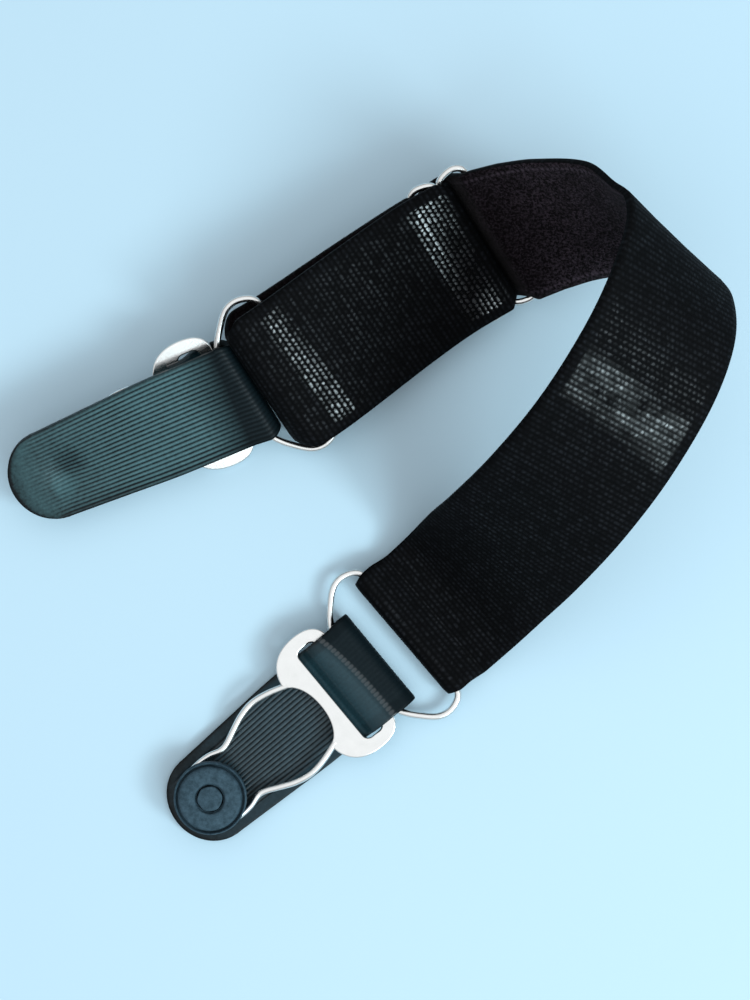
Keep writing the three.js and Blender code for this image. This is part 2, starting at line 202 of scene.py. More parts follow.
class Finish:
    """A material under construction: its node tree and its Principled shader."""

    def __init__(self, name, **plain):
        self.material = bpy.data.materials.new(name)
        self.material.use_nodes = True
        self.tree = self.material.node_tree
        self.shader = self.tree.nodes["Principled BSDF"]
        for socket, value in plain.items():
            self.shader.inputs[socket.replace("_", " ")].default_value = value

    def node(self, kind, settings=None, **values):
        """One node: its settings first, then the values or links of its sockets."""
        node = self.tree.nodes.new(kind)
        for key, value in (settings or {}).items():
            setattr(node, key, value)
        for key, value in values.items():
            feed(self.tree, node.inputs[key.replace("_", " ")], value)
        return node

    def term(self, node, output=0):
        """One output of a node, for use in expressions."""
        return Term(self.tree, node.outputs[output])

    def map(self, name):
        """The two numbers of a UV map: across the piece and along it."""
        both = self.term(self.node("ShaderNodeUVMap", {"uv_map": name}))
        split = self.node("ShaderNodeSeparateXYZ", Vector=both)
        return self.term(split, "X"), self.term(split, "Y")

    def noise(self, scale, detail, roughness=0.5):
        """A noise over the piece's own place; the scale counts patches in a metre."""
        place = self.term(self.node("ShaderNodeTexCoord"), "Object")
        return self.term(self.node("ShaderNodeTexNoise", Vector=place, Scale=scale, Detail=detail,
                                   Roughness=roughness))

    def patches(self, scale, detail, roughness):
        """A noise with more contrast, from 0 to 1."""
        return self.noise(scale, detail, roughness).between(*NOISE_SPREAD)

    def chance(self, x, y):
        """A random number from 0 to 1 for each pair of whole numbers."""
        pair = self.term(self.node("ShaderNodeCombineXYZ", X=x, Y=y))
        noise = self.node("ShaderNodeTexWhiteNoise", {"noise_dimensions": "2D"}, Vector=pair)
        return self.term(noise, "Value")

    def colour(self, factor, first, second):
        """A colour between two colours."""
        node = self.node("ShaderNodeMix", {"data_type": "RGBA"})
        for name, value in (("Factor_Float", factor), ("A_Color", first), ("B_Color", second)):
            feed(self.tree, next(s for s in node.inputs if s.identifier == name), value)
        return Term(self.tree, next(s for s in node.outputs if s.identifier == "Result_Color"))

    def bump(self, height, distance):
        """Relief: the height, from 0 to 1, stands for this distance in metres."""
        node = self.node("ShaderNodeBump", Height=height, Distance=distance, Strength=1.0)
        self.tree.links.new(node.outputs[0], self.shader.inputs["Normal"])

    def set(self, socket, value):
        """Link a term to one of the shader's sockets."""
        self.tree.links.new(value.socket, self.shader.inputs[socket])

    def done(self):
        """The finished material."""
        print("material", self.material.name, len(self.tree.nodes), "nodes")
        return self.material


# %% [markdown]
# ## The bright metal
# Wires and plates are nickel-plated steel. A mirror would look too new, so the metal shader gets a low
# roughness that varies a little, as plating does where fingers have rubbed it.

# %% Nickel
NICKEL_CLEAN, NICKEL_RUBBED = (0.84, 0.83, 0.81, 1), (0.74, 0.73, 0.71, 1)
PLATING_RELIEF = 0.000012

nickel_finish = Finish("nickel", Metallic=1.0)
rubbed = nickel_finish.noise(420.0, 3.0)
nickel_finish.set("Roughness", 0.16 + 0.12 * rubbed)
nickel_finish.set("Base Color", nickel_finish.colour(rubbed, NICKEL_CLEAN, NICKEL_RUBBED))
nickel_finish.bump(nickel_finish.noise(2600.0, 2.0), PLATING_RELIEF)
nickel = nickel_finish.done()

# %% [markdown]
# ## The two wire rings and the slider
# Each is a wire bent in a plane. It could be swept by hand round a path, but a curve does the same: we lay
# it through the bends, give it a round section, turn it into a mesh and set it where it lies.

# %% The bends
WIRE = 0.7
RING_HALF = 6.35
RING_BENDS = [(13.2, RING_HALF), (15.8, 5.4), (17.05, 2.6), (16.6, 0), (14.1, -2.9), (11.4, -5.1),
              (8.6, -RING_HALF)]
SLIDER_PITCH, SLIDER_STRAIGHT = 6.1, 6
SLIDER_END = [(SLIDER_PITCH, 13.2), (5.7, 14.8), (4.4, 15.6), (2.6, 15.5), (1.0, 14.8), (0, 13.5)]
RING_STEPS, SLIDER_STEPS = 8, 6
SHORTEST = 1e-6


def through(points, closed, steps):
    """Points on a smooth curve through the given ones, evenly eased from each to the next."""
    count = len(points)
    pts = [Vector(p) for p in points]

    def pick(i):
        return pts[i % count] if closed else pts[min(max(i, 0), count - 1)]

    def knot(a, b):
        return max((b - a).length ** 0.5, SHORTEST)

    line = []
    for i in range(count if closed else count - 1):
        p0, p1, p2, p3 = (pick(i + k) for k in (-1, 0, 1, 2))
        d0, d1, d2 = knot(p0, p1), knot(p1, p2), knot(p2, p3)
        t1 = ((p1 - p0) / d0 - (p2 - p0) / (d0 + d1) + (p2 - p1) / d1) * d1
        t2 = ((p2 - p1) / d1 - (p3 - p1) / (d1 + d2) + (p3 - p2) / d2) * d1
        if p0 == p1:
            t1 = p2 - p1
        if p2 == p3:
            t2 = p2 - p1
        for k in range(steps):
            t = k / steps
            line.append(p1 * (2 * t**3 - 3 * t**2 + 1) + t1 * (t**3 - 2 * t**2 + t)
                        + p2 * (3 * t**2 - 2 * t**3) + t2 * (t**3 - t**2))
    return line if closed else line + [pts[-1]]


def flat(points):
    """Points of the plane as points of space."""
    return [(x, y, 0) for x, y in points]


def mirrored(points):
    """The same points on the other side of the middle, in the opposite order."""
    return [(-x, *rest) for x, *rest in reversed(points)]


# %% Wires
WIRE_FACETS, WIRE_SMOOTH = 4, 60


def curve_mesh(curve, lines, place, angle):
    """Lay (points, closed) lines into a curve, make it a mesh and set it in its place."""
    for points, closed in lines:
        spline = curve.splines.new("POLY")
        spline.points.add(len(points) - 1)
        spline.points.foreach_set("co", [value for p in points for value in (*p, 1)])
        spline.use_cyclic_u = closed
    thing = bpy.data.objects.new(curve.name, curve)
    bpy.context.collection.objects.link(thing)
    alone(thing)
    bpy.ops.object.convert(target="MESH")
    thing = bpy.context.object
    thing.data.transform(place)
    smooth(thing, angle)
    return thing


def wire(name, lines, radius, place):
    """A round wire along each line, as one mesh in its place."""
    curve = bpy.data.curves.new(name, "CURVE")
    curve.dimensions = "3D"
    curve.bevel_depth, curve.bevel_resolution = radius, WIRE_FACETS
    curve.use_fill_caps = True
    return curve_mesh(curve, lines, place, WIRE_SMOOTH)


# %% The rings
ring_side = flat(RING_BENDS)
ring_line = through([(0, RING_HALF, 0), *ring_side, (0, -RING_HALF, 0), *mirrored(ring_side)], True,
                    RING_STEPS)
for name, place in (("lower_ring", LOWER_RING), ("upper_ring", UPPER_RING)):
    ring = wire(f"{name}_wire", [(ring_line, True)], WIRE, place)
    finish_piece(ring, name, "nickel", nickel)

# %% [markdown]
# ## The strap's path
# The strap is one band from the hem at the lower ring, up and over in the air, through the slider, round
# the upper ring and back to the slider's middle bar. Cloth simulation would give a drape of its own, so the
# path is drawn instead. Rows give the middle of the free part, the direction of its ribs and how steeply
# they climb. The doubled part is drawn in a plane of its own, as reach along it and rise above it, and laid
# along a second table.

# %% Sizes and tables of the strap
BAND_WIDTH, BAND_THICK, GAP = 30.2, 1.3, 0.3
RING_IN_FOLD = 2.6
HEM_TAIL, HEM_PINCH, TAIL_SHIFT = 7.0, 0.9, 0.7
LOOP_AT, LOOP_RADIUS, LOOP_PINCH = 46.2, 3.85, 2.8
SLIDER_ROOM, SLIDER_REACH, SEWN_PINCH = 14.5, 8.0, 0.9
LOWER_BAR = (7.1, -26.1, 40.5)

# middle x, y, z; direction of the ribs; how steeply they climb
FREE_RUN = [
    (11.9, -22.8, 2.4, 131, 0),
    (16.5, -18.4, 5.4, 132, -1),
    (21.5, -13.0, 13.6, 139, 3),
    (26.3, -8.0, 22.5, 146, 8),
    (33.7, 0.5, 32.8, 151, 15),
    (41.6, 11.2, 40.0, 153, 21),
    (48.8, 23.6, 44.2, 155, 25),
    (53.2, 34.0, 43.7, 156, 30),
    (55.1, 43.0, 40.0, 151, 37),
    (54.0, 47.4, 36.8, 146, 41),
    (50.6, 49.4, 32.5, 139, 45),
    (45.5, 52.7, 25.8, 130, 42),
    (36.4, 53.3, 18.8, 126, 36),
    (30.2, 52.5, 14.9, 124, 31),
]
DOUBLED = [
    (23.7, 51.4, 10.9, 124.5, 25.5),
    (18.7, 49.5, 9.8, 125, 25),
    (13.1, 46.9, 9.0, 125, 25),
    (3.4, 40.3, 8.7, 125.5, 24),
    (-14.1, 27.1, 10.0, 125, 20),
    (-22.6, 21.5, 10.15, 123.5, 21),
]


# %% Reading a table smoothly
class Along:
    """A smooth pass through rows: each column is a spline over the distance along the rows."""

    def __init__(self, rows):
        self.rows, self.at = rows, [0.0]
        for a, b in zip(rows, rows[1:]):
            self.at.append(self.at[-1] + math.dist(a[:3], b[:3]))
        self.length = self.at[-1]

    def slope(self, column, i):
        """How fast a column changes at a row."""
        a, b = max(i - 1, 0), min(i + 1, len(self.rows) - 1)
        return (self.rows[b][column] - self.rows[a][column]) / (self.at[b] - self.at[a])

    def read(self, s):
        """The row at this distance; beyond an end it goes straight on."""
        i = 0
        while i < len(self.rows) - 2 and s > self.at[i + 1]:
            i += 1
        step = self.at[i + 1] - self.at[i]
        t = (s - self.at[i]) / step
        u = 1 - t
        row = []
        for column in range(len(self.rows[0])):
            first, second = self.rows[i][column], self.rows[i + 1][column]
            if t < 0:
                row.append(first + self.slope(column, i) * t * step)
            elif t > 1:
                row.append(second + self.slope(column, i + 1) * (t - 1) * step)
            else:
                row.append(first * u * u * (1 + 2 * t) + second * t * t * (3 - 2 * t)
                           + step * t * u * (self.slope(column, i) * u - self.slope(column, i + 1) * t))
        return row


def across_of(row):
    """The direction of a row's ribs."""
    ribs, bank = math.radians(row[3]), math.radians(row[4])
    return Vector((math.cos(bank) * math.cos(ribs), math.cos(bank) * math.sin(ribs), math.sin(bank)))


def arc(x, y, radius, start_angle, end_angle, steps):
    """Points of an arc round (x, y), angles in degrees."""
    angles = [math.radians(start_angle + (end_angle - start_angle) * i / steps) for i in range(steps + 1)]
    return [(x + radius * math.cos(a), y + radius * math.sin(a)) for a in angles]


# %% A plane for the doubled part
doubled = Along(DOUBLED)
MIDDLE_BAR = doubled.length - LOOP_AT - LOOP_RADIUS - BAND_THICK / 2
LOOK_AROUND = 0.5


def in_doubled(reach, rise):
    """A place in the doubled part: reach runs right from the slider's middle bar, rise is above the band."""
    s = MIDDLE_BAR - reach
    row = doubled.read(s)
    across = across_of(row)
    right = Vector(doubled.read(s - LOOK_AROUND)[:3]) - Vector(doubled.read(s + LOOK_AROUND)[:3])
    up = right.cross(across).normalized()
    return Vector(row[:3]) + up * rise, across, up


print(f"the slider's middle bar is {MIDDLE_BAR:.1f} mm along the doubled part")

# %% [markdown]
# ## Stations
# The path becomes a list of stations: the strap's middle there, the direction across it and its half width.
# Where the strap squeezes through the slider it is a little narrower, and it gathers where it is sewn or
# looped. Arcs take it round each bar with one or two layers' room.

# %% Stations of the doubled part
ONE_LAYER = WIRE + GAP + BAND_THICK / 2
TWO_LAYERS = ONE_LAYER + BAND_THICK + GAP
FIRST_ANGLE, SEWN_ANGLE = 75, -100
BAR_STEPS, MIDDLE_STEPS, RUN_STEPS, LOOP_STEPS, EASE_STEPS, SEWN_STEPS = 12, 16, 36, 24, 3, 20
OPENING_POWER = 1.5
WIDER_AWAY, LAYER_SWITCH, REACH_POWER = 3, 0.2, 8
GATHER_STEPS = 6


def opening(part, low, high):
    """A point of the run from the slider to the loop, where the layers slowly part."""
    return -SLIDER_PITCH - part * (LOOP_AT - SLIDER_PITCH), low + part**OPENING_POWER * (high - low)


def room_for(reach, rise):
    """The most that the half width may be; the slider's wire leaves less room to the layer inside it."""
    inside = min(max((ONE_LAYER + LAYER_SWITCH - rise) / (2 * LAYER_SWITCH), 0), 1)
    return SLIDER_ROOM + WIDER_AWAY * (1 - math.exp(-((reach / SLIDER_REACH) ** REACH_POWER)) * inside)


def weave():
    """The way through the slider, round the upper ring and back to the slider's middle bar."""
    dive = math.degrees(math.asin((ONE_LAYER + TWO_LAYERS) / SLIDER_PITCH))
    ease = math.degrees(math.asin((TWO_LAYERS - ONE_LAYER) / SLIDER_PITCH))
    slots = (*arc(SLIDER_PITCH, 0, ONE_LAYER, FIRST_ANGLE, 90 + dive, BAR_STEPS),
             *arc(0, 0, TWO_LAYERS, dive - 90, -90 - dive, MIDDLE_STEPS),
             *arc(-SLIDER_PITCH, 0, ONE_LAYER, 90 - dive, 90, BAR_STEPS))
    parts = [i / RUN_STEPS for i in range(1, RUN_STEPS)]
    out = [opening(part, ONE_LAYER, -LOOP_RADIUS) for part in parts]
    loop = arc(-LOOP_AT, 0, LOOP_RADIUS, -90, -270, LOOP_STEPS)
    back = [opening(part, TWO_LAYERS, LOOP_RADIUS) for part in reversed(parts)]
    back += arc(-SLIDER_PITCH, 0, TWO_LAYERS, 90, 90 - ease, EASE_STEPS)
    sewn = arc(0, 0, ONE_LAYER, 90 - ease, SEWN_ANGLE, SEWN_STEPS)
    centre, side, _ = in_doubled(0, 0)
    side = side.normalized()

    def station(reach, rise, pinch=0, less=0):
        middle, across, _ = in_doubled(reach, rise)
        room = room_for(reach, rise) - pinch
        off = (middle - centre).dot(side) * (abs(reach) < 2 * SLIDER_REACH)
        upper, lower = min(BAND_WIDTH / 2 + off, room), min(BAND_WIDTH / 2 - off, room)
        return middle + across * ((upper - lower) / 2 - off), across, (upper + lower) / 2 - less

    return [*(station(*point) for point in (*slots, *out)),
            *(station(*point, less=LOOP_PINCH * math.sin(math.pi * i / LOOP_STEPS) ** 2)
              for i, point in enumerate(loop)),
            *(station(*point) for point in back),
            *(station(*point, pinch=SEWN_PINCH * min(i / GATHER_STEPS, 1))
              for i, point in enumerate(sewn))]


# %% Stations of the hem and of the free part
TAIL_STEPS, FOLD_STEPS, FREE_STEPS = 8, 20, 160
HEM_LEAVES, HEM_DROP = 2.4, 0.8


def hem():
    """The tail under the strap and its fold round the lower ring's bar."""
    x, y, heading = LOWER_BAR
    radius = RING_IN_FOLD - BAND_THICK / 2
    ahead = Vector((math.cos(math.radians(heading)), math.sin(math.radians(heading)), 0))
    across = Vector((-ahead.y, ahead.x, 0))
    path = [(HEM_TAIL * (1 - i / TAIL_STEPS), BAND_THICK / 2) for i in range(TAIL_STEPS)]
    path += arc(0, RING_IN_FOLD, radius, 270, 90, FOLD_STEPS)
    path += [(HEM_LEAVES, RING_IN_FOLD + radius - HEM_DROP)]
    made = []
    for reach, z in path:
        middle = Vector((x, y, 0)) + ahead * reach + Vector((0, 0, z))
        askew = TAIL_SHIFT * max(reach, 0) * (z < RING_IN_FOLD) / HEM_TAIL
        made.append((middle - across * askew, across, BAND_WIDTH / 2 - HEM_PINCH * max(0, -reach) / radius))
    return made


def free():
    """The part that stands up and turns over."""
    run = Along(FREE_RUN)
    rows = [run.read(run.length * i / FREE_STEPS) for i in range(FREE_STEPS + 1)]
    return [(Vector(row[:3]), across_of(row), BAND_WIDTH / 2) for row in rows]


stations = [*hem(), *free(), *weave()]
print(len(stations), "stations")

# %% Even steps along the strap
RIB = 1.05
ROWS_PER_RIB = 4
EASE_PASSES = 4


def evenly(stations, step):
    """The stations again, one every step along the strap's middle."""
    at = [0.0]
    for a, b in zip(stations, stations[1:]):
        at.append(at[-1] + (b[0] - a[0]).length)
    count, i, even = round(at[-1] / step), 0, []
    for k in range(count + 1):
        s = at[-1] * k / count
        while i < len(at) - 2 and s > at[i + 1]:
            i += 1
        t = (s - at[i]) / (at[i + 1] - at[i])
        a, b = stations[i], stations[i + 1]
        even.append((a[0].lerp(b[0], t), a[1].lerp(b[1], t).normalized(), a[2] + (b[2] - a[2]) * t))
    return even, at[-1]


def eased(stations, passes):
    """Soften the joints between the parts of the path."""
    for _ in range(passes):
        kept = [stations[0]]
        for before, here, after in zip(stations, stations[1:], stations[2:]):
            kept.append(((before[0] + 2 * here[0] + after[0]) / 4,
                         (before[1] + 2 * here[1] + after[1]).normalized(),
                         (before[2] + 2 * here[2] + after[2]) / 4))
        stations = kept + [stations[-1]]
    return stations


even, STRAP_LENGTH = evenly(stations, RIB / ROWS_PER_RIB)
even = eased(even, EASE_PASSES)
print(f"the strap is {STRAP_LENGTH:.0f} mm long, {len(even)} rows")

# %% [markdown]
# ## The strap's ribbed face
# The elastic has an outer face of ribs that run across it, each a row of small knitted loops. An image of
# cloth would show its seams, so the pattern is worked out from the strap's own UV map, which counts across
# the strap and along it. Each loop is a soft dot; chance and wear make some paler than others.

# %% Ribs and loops
LOOP_PITCH = 1.08
SELVAGE, SELVAGE_EASE = 2.0, 0.6
WAVER = 1.5
THREAD_RELIEF = 0.00003
THREAD_DEEP, THREAD_TOP = (0.0006, 0.0007, 0.001, 1), (0.0125, 0.0145, 0.0185, 1)

strap_finish = Finish("ribbed_elastic", Specular_IOR_Level=0.06, Coat_Roughness=0.25, Coat_IOR=2.5)
across, along = strap_finish.map("strap")
u = across * BAND_WIDTH
v = along * STRAP_LENGTH
rib_number = (v / RIB).floor()
stagger = rib_number.modulo(2.0) * 0.5
waver = (strap_finish.noise(600.0, 2.0) - 0.5) * WAVER
loop_at = u / LOOP_PITCH + stagger + waver
loops = loop_at.wave()
rib = (v / RIB).wave(-1.0)
each = strap_finish.chance((loop_at + 0.5).floor(), rib_number)
row_tone = strap_finish.chance(rib_number, 0.5)
worn = strap_finish.patches(120.0, 3.0, 0.6)
fuzz = strap_finish.patches(2600.0, 2.0, 0.7)
dots = rib * loops.lifted(0.3) * each.lifted(0.15) * worn.lifted(0.55) * fuzz.lifted(0.4)
strap_finish.bump(dots * 0.5 + rib * 0.5, THREAD_RELIEF)
strap_finish.set("Base Color", strap_finish.colour(dots, THREAD_DEEP, THREAD_TOP))
strap_finish.set("Roughness", 0.75 - 0.2 * dots)

# %% [markdown]
# ## Shine on the bends
# Where the cloth is stretched over a bend its threads lie flat and shine in a band across the strap. A coat
# over the cloth does this, in the bands alone. Where the strap turns softly the shine is blurred, and where
# it turns sharply it breaks up into bright loops.

# %% Bands of shine
# middle along the strap, reach, slant; for a sharp bend its strength too
SOFT_BEND = (85.6, 4.6, -0.16)
SHARP_BENDS = [(271.8, 3.6, -0.06, 2.7), (236.4, 2.3, 0.04, 0.85)]
FULL_SHINE, NO_SHINE = 0.5, 1.25


def stretch(middle, reach, slant):
    """1 in the band, 0 away from it."""
    off = ((v - middle - (u - BAND_WIDTH / 2) * slant) / reach).abs()
    return 1.0 - off.between(FULL_SHINE, NO_SHINE)


from_selvage = BAND_WIDTH / 2 - (u - BAND_WIDTH / 2).abs()
inside = from_selvage.between(SELVAGE, SELVAGE + SELVAGE_EASE)
streaky = strap_finish.noise(230.0, 3.0, 0.7).between(0.3, 0.65)
soft = (0.05 + 0.08 * rib + 0.75 * rib * loops * each) * row_tone.lifted(0.5) * streaky
sharp = (rib * loops.lifted(0.2) * 1.6 - 0.3).at_least(0.0) * each.lifted(0.1)
sharp = sharp * (0.5 + 0.8 * row_tone) * (0.4 + 0.9 * fuzz)
shine = stretch(*SOFT_BEND) * soft + 0.03 * sharp
for *bend_at, strength in SHARP_BENDS:
    shine = stretch(*bend_at) * sharp * strength + shine
strap_finish.set("Coat Weight", (shine * inside).at_most(1.0))
ribbed = strap_finish.done()

# %% [markdown]
# ## The strap's brushed reverse
# The reverse is brushed soft against the skin. Fur would be far too long, so a fine noise stands for the
# fluff in both relief and colour. Its colour is darkened where it runs into the slider, a painted shade,
# and a line of stitches runs near each edge.

# %% Fluff and stitches
FLUFF_RELIEF = 0.0005
SLOT_SHADE_SPAN = (150.0, 166.0)
STITCH_IN, STITCH_HALF = 1.6, 0.5
FLUFF_DEEP, FLUFF_TIP = (0.0013, 0.0006, 0.0008, 1), (0.062, 0.046, 0.060, 1)

plush_finish = Finish("brushed_reverse", Specular_IOR_Level=0.05, Sheen_Weight=0.03, Sheen_Roughness=0.4)
fluff = plush_finish.noise(1900.0, 4.0, 0.8)
matted = plush_finish.patches(200.0, 3.0, 0.6)
plush_finish.bump(fluff * 0.8 + matted * 0.2, FLUFF_RELIEF)
across, along = plush_finish.map("strap")
# Painted shade: the reverse's colour darkens over this span, where it runs into the slider.
painted_slot_shade = (along * STRAP_LENGTH).between(*SLOT_SHADE_SPAN)
from_edge = (0.5 - (across - 0.5).abs()) * BAND_WIDTH
stitched = from_edge.peak(STITCH_IN, STITCH_HALF) * (along * STRAP_LENGTH / RIB).wave()
tips = (fluff.between(0.45, 0.6) * matted.lifted(0.5) + stitched) * (1.0 - 0.85 * painted_slot_shade)
plush_finish.set("Base Color", plush_finish.colour(tips.at_most(1.0), FLUFF_DEEP, FLUFF_TIP))
plush_finish.set("Roughness", 0.85 + 0.1 * fluff)
plush = plush_finish.done()

# %% [markdown]
# ## The strap
# A grid, one row of faces for each quarter rib, is laid along the path as the reverse side of the cloth. A
# Solidify modifier then grows the band outwards. Its vertex group makes the thickness swell at each rib, so
# the ribs are real relief on the outer face only, and thinner selvages finish the edges.

# %% The strap's grid
COLUMNS = 24
RIB_SWELL = (0.97, 0.985, 1.0, 0.985)
SELVAGE_SWELL = 0.88
AT_EDGE = 0.99

rows = len(even)
bpy.ops.mesh.primitive_grid_add(x_subdivisions=COLUMNS, y_subdivisions=rows - 1, size=1)
strap = start("strap_cloth")
mesh = strap.data
mesh.uv_layers[0].name = "strap"
middles = [station[0] for station in even]
swells = {}
for vertex in mesh.vertices:
    side = -vertex.co.x * 2
    row = round((vertex.co.y + 0.5) * (rows - 1))
    middle, direction, half = even[row]
    ahead = middles[min(row + 1, rows - 1)] - middles[max(row - 1, 0)]
    up = ahead.cross(direction).normalized()
    vertex.co = middle + direction * side * half - up * (BAND_THICK / 2)
    swell = SELVAGE_SWELL if abs(side) > AT_EDGE else RIB_SWELL[row % ROWS_PER_RIB]
    swells.setdefault(swell, []).append(vertex.index)
group = strap.vertex_groups.new(name="rib")
for swell, members in swells.items():
    group.add(members, swell, "REPLACE")
mesh.transform(VIEW)

# %% The strap's thickness
for face in (ribbed, plush):
    mesh.materials.append(face)
modifier(strap, "SOLIDIFY", thickness=BAND_THICK * MM, offset=1.0, vertex_group="rib",
         thickness_vertex_group=0.0, material_offset=1, material_offset_rim=0)
bpy.ops.object.shade_smooth()
finish_piece(strap, "elastic_strap", "elastic")
STRAP_LENGTH * MM

# %% [markdown]
# ## The slider
# It sets the strap's length. Its outline is one closed wire with a double hump at each end, and its middle
# bar is welded between the valleys. It lies in the doubled strap's own plane, so its frame is read there.

# %% The slider's wire
quarter = [(SLIDER_PITCH, 0), (SLIDER_PITCH, SLIDER_STRAIGHT), *SLIDER_END]
half_way = quarter + mirrored(quarter[:-1])
whole = half_way + [(x, -y) for x, y in reversed(half_way[1:-1])]
bar_end = SLIDER_END[-1][1]
place, across_here, _ = in_doubled(0, 0)
right = in_doubled(1, 0)[0] - in_doubled(-1, 0)[0]
up_here = right.cross(across_here).normalized()
ahead = across_here.cross(up_here)
slider_turn = Matrix((ahead, across_here, up_here)).transposed().to_4x4()
slider = wire("slider_wire", [(through(flat(whole), True, SLIDER_STEPS), True),
                              ([(0, -bar_end, 0), (0, bar_end, 0)], False)],
              WIRE, VIEW @ Matrix.Translation(place) @ slider_turn)
finish_piece(slider, "slider", "nickel", nickel)

# %% [markdown]
# ## Rubber
# The tab is pressed rubber, ribbed along its length on both faces. Its ribs are real relief, but what the
# eye sees first is that crests shine and grooves are dark, so a coat lies on the crests alone and the
# grooves get painted shade with some dust. The rubber gets painted shade where it folds, at its edges and
# round its end, painted shade and highlight beside the dent over the peg, and painted light away from its
# round end. The upper tab's crests are a lit copy of the lower tab's, painted light. The rubber is pale where
# the flap is pulled taut over the frame. The button is smoother and more matte.

# %% Places on the tab, as shares of its map
TAB_RIBS = 22
# The third span holds painted shade at the fold; over the fourth, painted shade at the round end gives way to
# painted light.
RIBBED, SMOOTH_FLAP, FOLD_SHADE_SPAN, LIGHT_RISE_SPAN = (0.04, 0.3), (0.54, 0.62), (0.45, 0.52), (0.15, 0.36)
TAUT_AT, TAUT_BOW, TAUT_HALF, FLAT_FROM, FLAT_TO = 0.731, 0.034, 0.013, -0.012, 0.03
# Two soft spots beside the dent over the peg: painted shade at the first, painted highlight at the second.
DENT_SHADE_AT, DENT_LIGHT_AT, DENT_SPOT_WIDE, DENT_SPOT_LONG, DENT_SPOT_FADES = (0.56, 0.214), (0.36, 0.181), 0.15, 0.028, 1.6
# Painted shade at the edges and round end, and in a wider band along one edge.
EDGE_SHADE_WIDE, EDGE_SHADE_LONG, SIDE_SHADE_WIDE, SIDE_SHADE_LONG, BORDER_EASE = 0.035, 0.02, 0.15, 0.07, 0.02

# %% The tab's rubber
RUBBER_GRAIN = 0.00002
# The groove colour is painted shade, also used for random dusty patches.
SHADE_AND_DUST_COLOUR = (0.0015, 0.0035, 0.0045, 1)
# The fold colour is painted shade.
FOLD_SHADE_COLOUR, FLAP_COLOUR = (0.0035, 0.009, 0.012, 1), (0.011, 0.038, 0.050, 1)
# The upper tab's crest colour is a lit copy of the lower tab's: painted light.
LOWER_CREST, LIT_UPPER_CREST = (0.011, 0.038, 0.053, 1), (0.05, 0.132, 0.148, 1)


def tab_rubber(name, border, crest):
    """Glossy ribs over grooves in painted shade, a plain border at each edge and a bright line where it is
    taut.
    """
    finish = Finish(name, Specular_IOR_Level=0.06, Coat_Roughness=0.32, Coat_IOR=1.55)
    grain = finish.noise(5000.0, 3.0, 0.6)
    speckle = finish.patches(1500.0, 3.0, 0.7)
    cloudy = finish.patches(160.0, 3.0, 0.6)
    across, along = finish.map("UVMap")
    from_edge = 0.5 - (across - 0.5).abs()

    def dent_spot(at):
        """A soft spot by the peg's dent, for its painted shade and highlight: 1 in its middle, 0 outside."""
        away = ((across - at[0]) / DENT_SPOT_WIDE) ** 2.0 + ((along - at[1]) / DENT_SPOT_LONG) ** 2.0
        return 1.0 - away.between(0.0, DENT_SPOT_FADES)

    ribbed_part = along.between(*RIBBED) * from_edge.between(border, border + BORDER_EASE)
    ribs = (across * (TAB_RIBS + 1)).wave()
    groove = ribs**1.5 * ribbed_part * (1.0 - along.between(*SMOOTH_FLAP))
    # Painted shade where the tab folds round the ring.
    fold_shade = along.between(*FOLD_SHADE_SPAN)
    past_taut = along - TAUT_AT - (1.0 - across) ** 3.0 * TAUT_BOW
    taut = past_taut.peak(0.0, TAUT_HALF) * ribs.lifted(0.1)
    flap = past_taut.between(FLAT_FROM, FLAT_TO)
    # Painted shade at the edges and round end, and in a wider band along one edge.
    edge_shade = 1.0 - from_edge.between(0.0, EDGE_SHADE_WIDE) * along.between(0.0, EDGE_SHADE_LONG)
    side_shade = 1.0 - across.between(0.0, SIDE_SHADE_WIDE) * along.between(0.0, SIDE_SHADE_LONG)
    # Painted shade on one side of the dent over the peg.
    pressed = dent_spot(DENT_SHADE_AT)
    finish.bump(grain, RUBBER_GRAIN)
    bare = finish.colour(flap, finish.colour(fold_shade, crest, FOLD_SHADE_COLOUR), FLAP_COLOUR)
    # The grooves get painted shade, with random dusty patches and a duller plain border.
    dust_and_shade = groove * 0.8 + cloudy * 0.1 + speckle * 0.22 + 0.2 * (1.0 - ribbed_part)
    # Painted shade at the edges, round the end and along one edge; painted light rises away from the round
    # end.
    dust_and_shade = dust_and_shade + 0.4 * edge_shade + 0.3 * side_shade + 0.25 * (1.0 - along.between(*LIGHT_RISE_SPAN))
    # Painted shade and painted highlight beside the dent over the peg.
    dust_and_shade = dust_and_shade + 0.16 * pressed - 0.25 * dent_spot(DENT_LIGHT_AT)
    finish.set("Base Color", finish.colour(dust_and_shade.at_least(0.0).at_most(1.0), bare, SHADE_AND_DUST_COLOUR))
    finish.set("Roughness", 0.6 + 0.1 * cloudy)
    shine = (0.85 - 0.3 * speckle) * (1.0 - 0.85 * groove) * (1.0 - 0.88 * fold_shade)
    shine = shine * ribbed_part.lifted(0.5) * (1.0 - 0.3 * pressed) * (1.0 - 0.4 * side_shade)
    finish.set("Coat Weight", (shine + 0.35 * flap + 3.0 * taut).at_most(1.0))
    return finish.done()


# %% The button's rubber
BUTTON_GRAIN = 0.00004
BUTTON_DARK, BUTTON_DUSTY = (0.014, 0.028, 0.039, 1), (0.048, 0.084, 0.112, 1)

button_finish = Finish("matte_rubber", Specular_IOR_Level=0.2, Specular_Tint=(0.65, 0.93, 1.0, 1))
cloudy = button_finish.noise(900.0, 4.0, 0.75)
button_finish.bump(button_finish.noise(3200.0, 3.0, 0.6), BUTTON_GRAIN)
button_finish.set("Base Color", button_finish.colour(
    cloudy.between(*NOISE_SPREAD), BUTTON_DARK, BUTTON_DUSTY))
button_finish.set("Roughness", 0.58 + 0.12 * cloudy)
button_rubber = button_finish.done()

